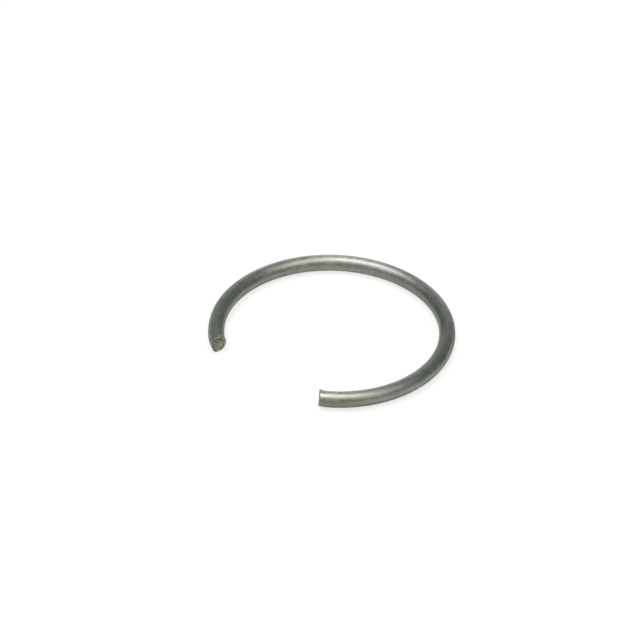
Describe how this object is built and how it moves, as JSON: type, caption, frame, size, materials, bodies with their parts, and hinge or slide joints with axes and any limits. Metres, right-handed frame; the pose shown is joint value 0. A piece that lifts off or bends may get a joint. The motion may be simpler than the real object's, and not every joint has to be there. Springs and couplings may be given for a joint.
{
  "type": "round-wire retaining ring",
  "caption": "Open circular retaining ring of round spring wire with two cropped ends, for a groove inside a bore.",
  "frame": {"origin": "the ring's axis at mid-height of the wire, midway between the centres on which its two arms are coiled", "axes": "+Z along the ring's axis, +Y towards the middle of the wire, -Y towards the middle of the gap, left arm on -X"},
  "size_m": [0.0149, 0.0139, 0.001],
  "materials": {
    "spring_wire": "satin, hard-drawn and lightly oiled, dark grey with fine lines along the wire"
  },
  "bodies": {
    "root": {"ring": "spring_wire"}
  },
  "joints": []
}
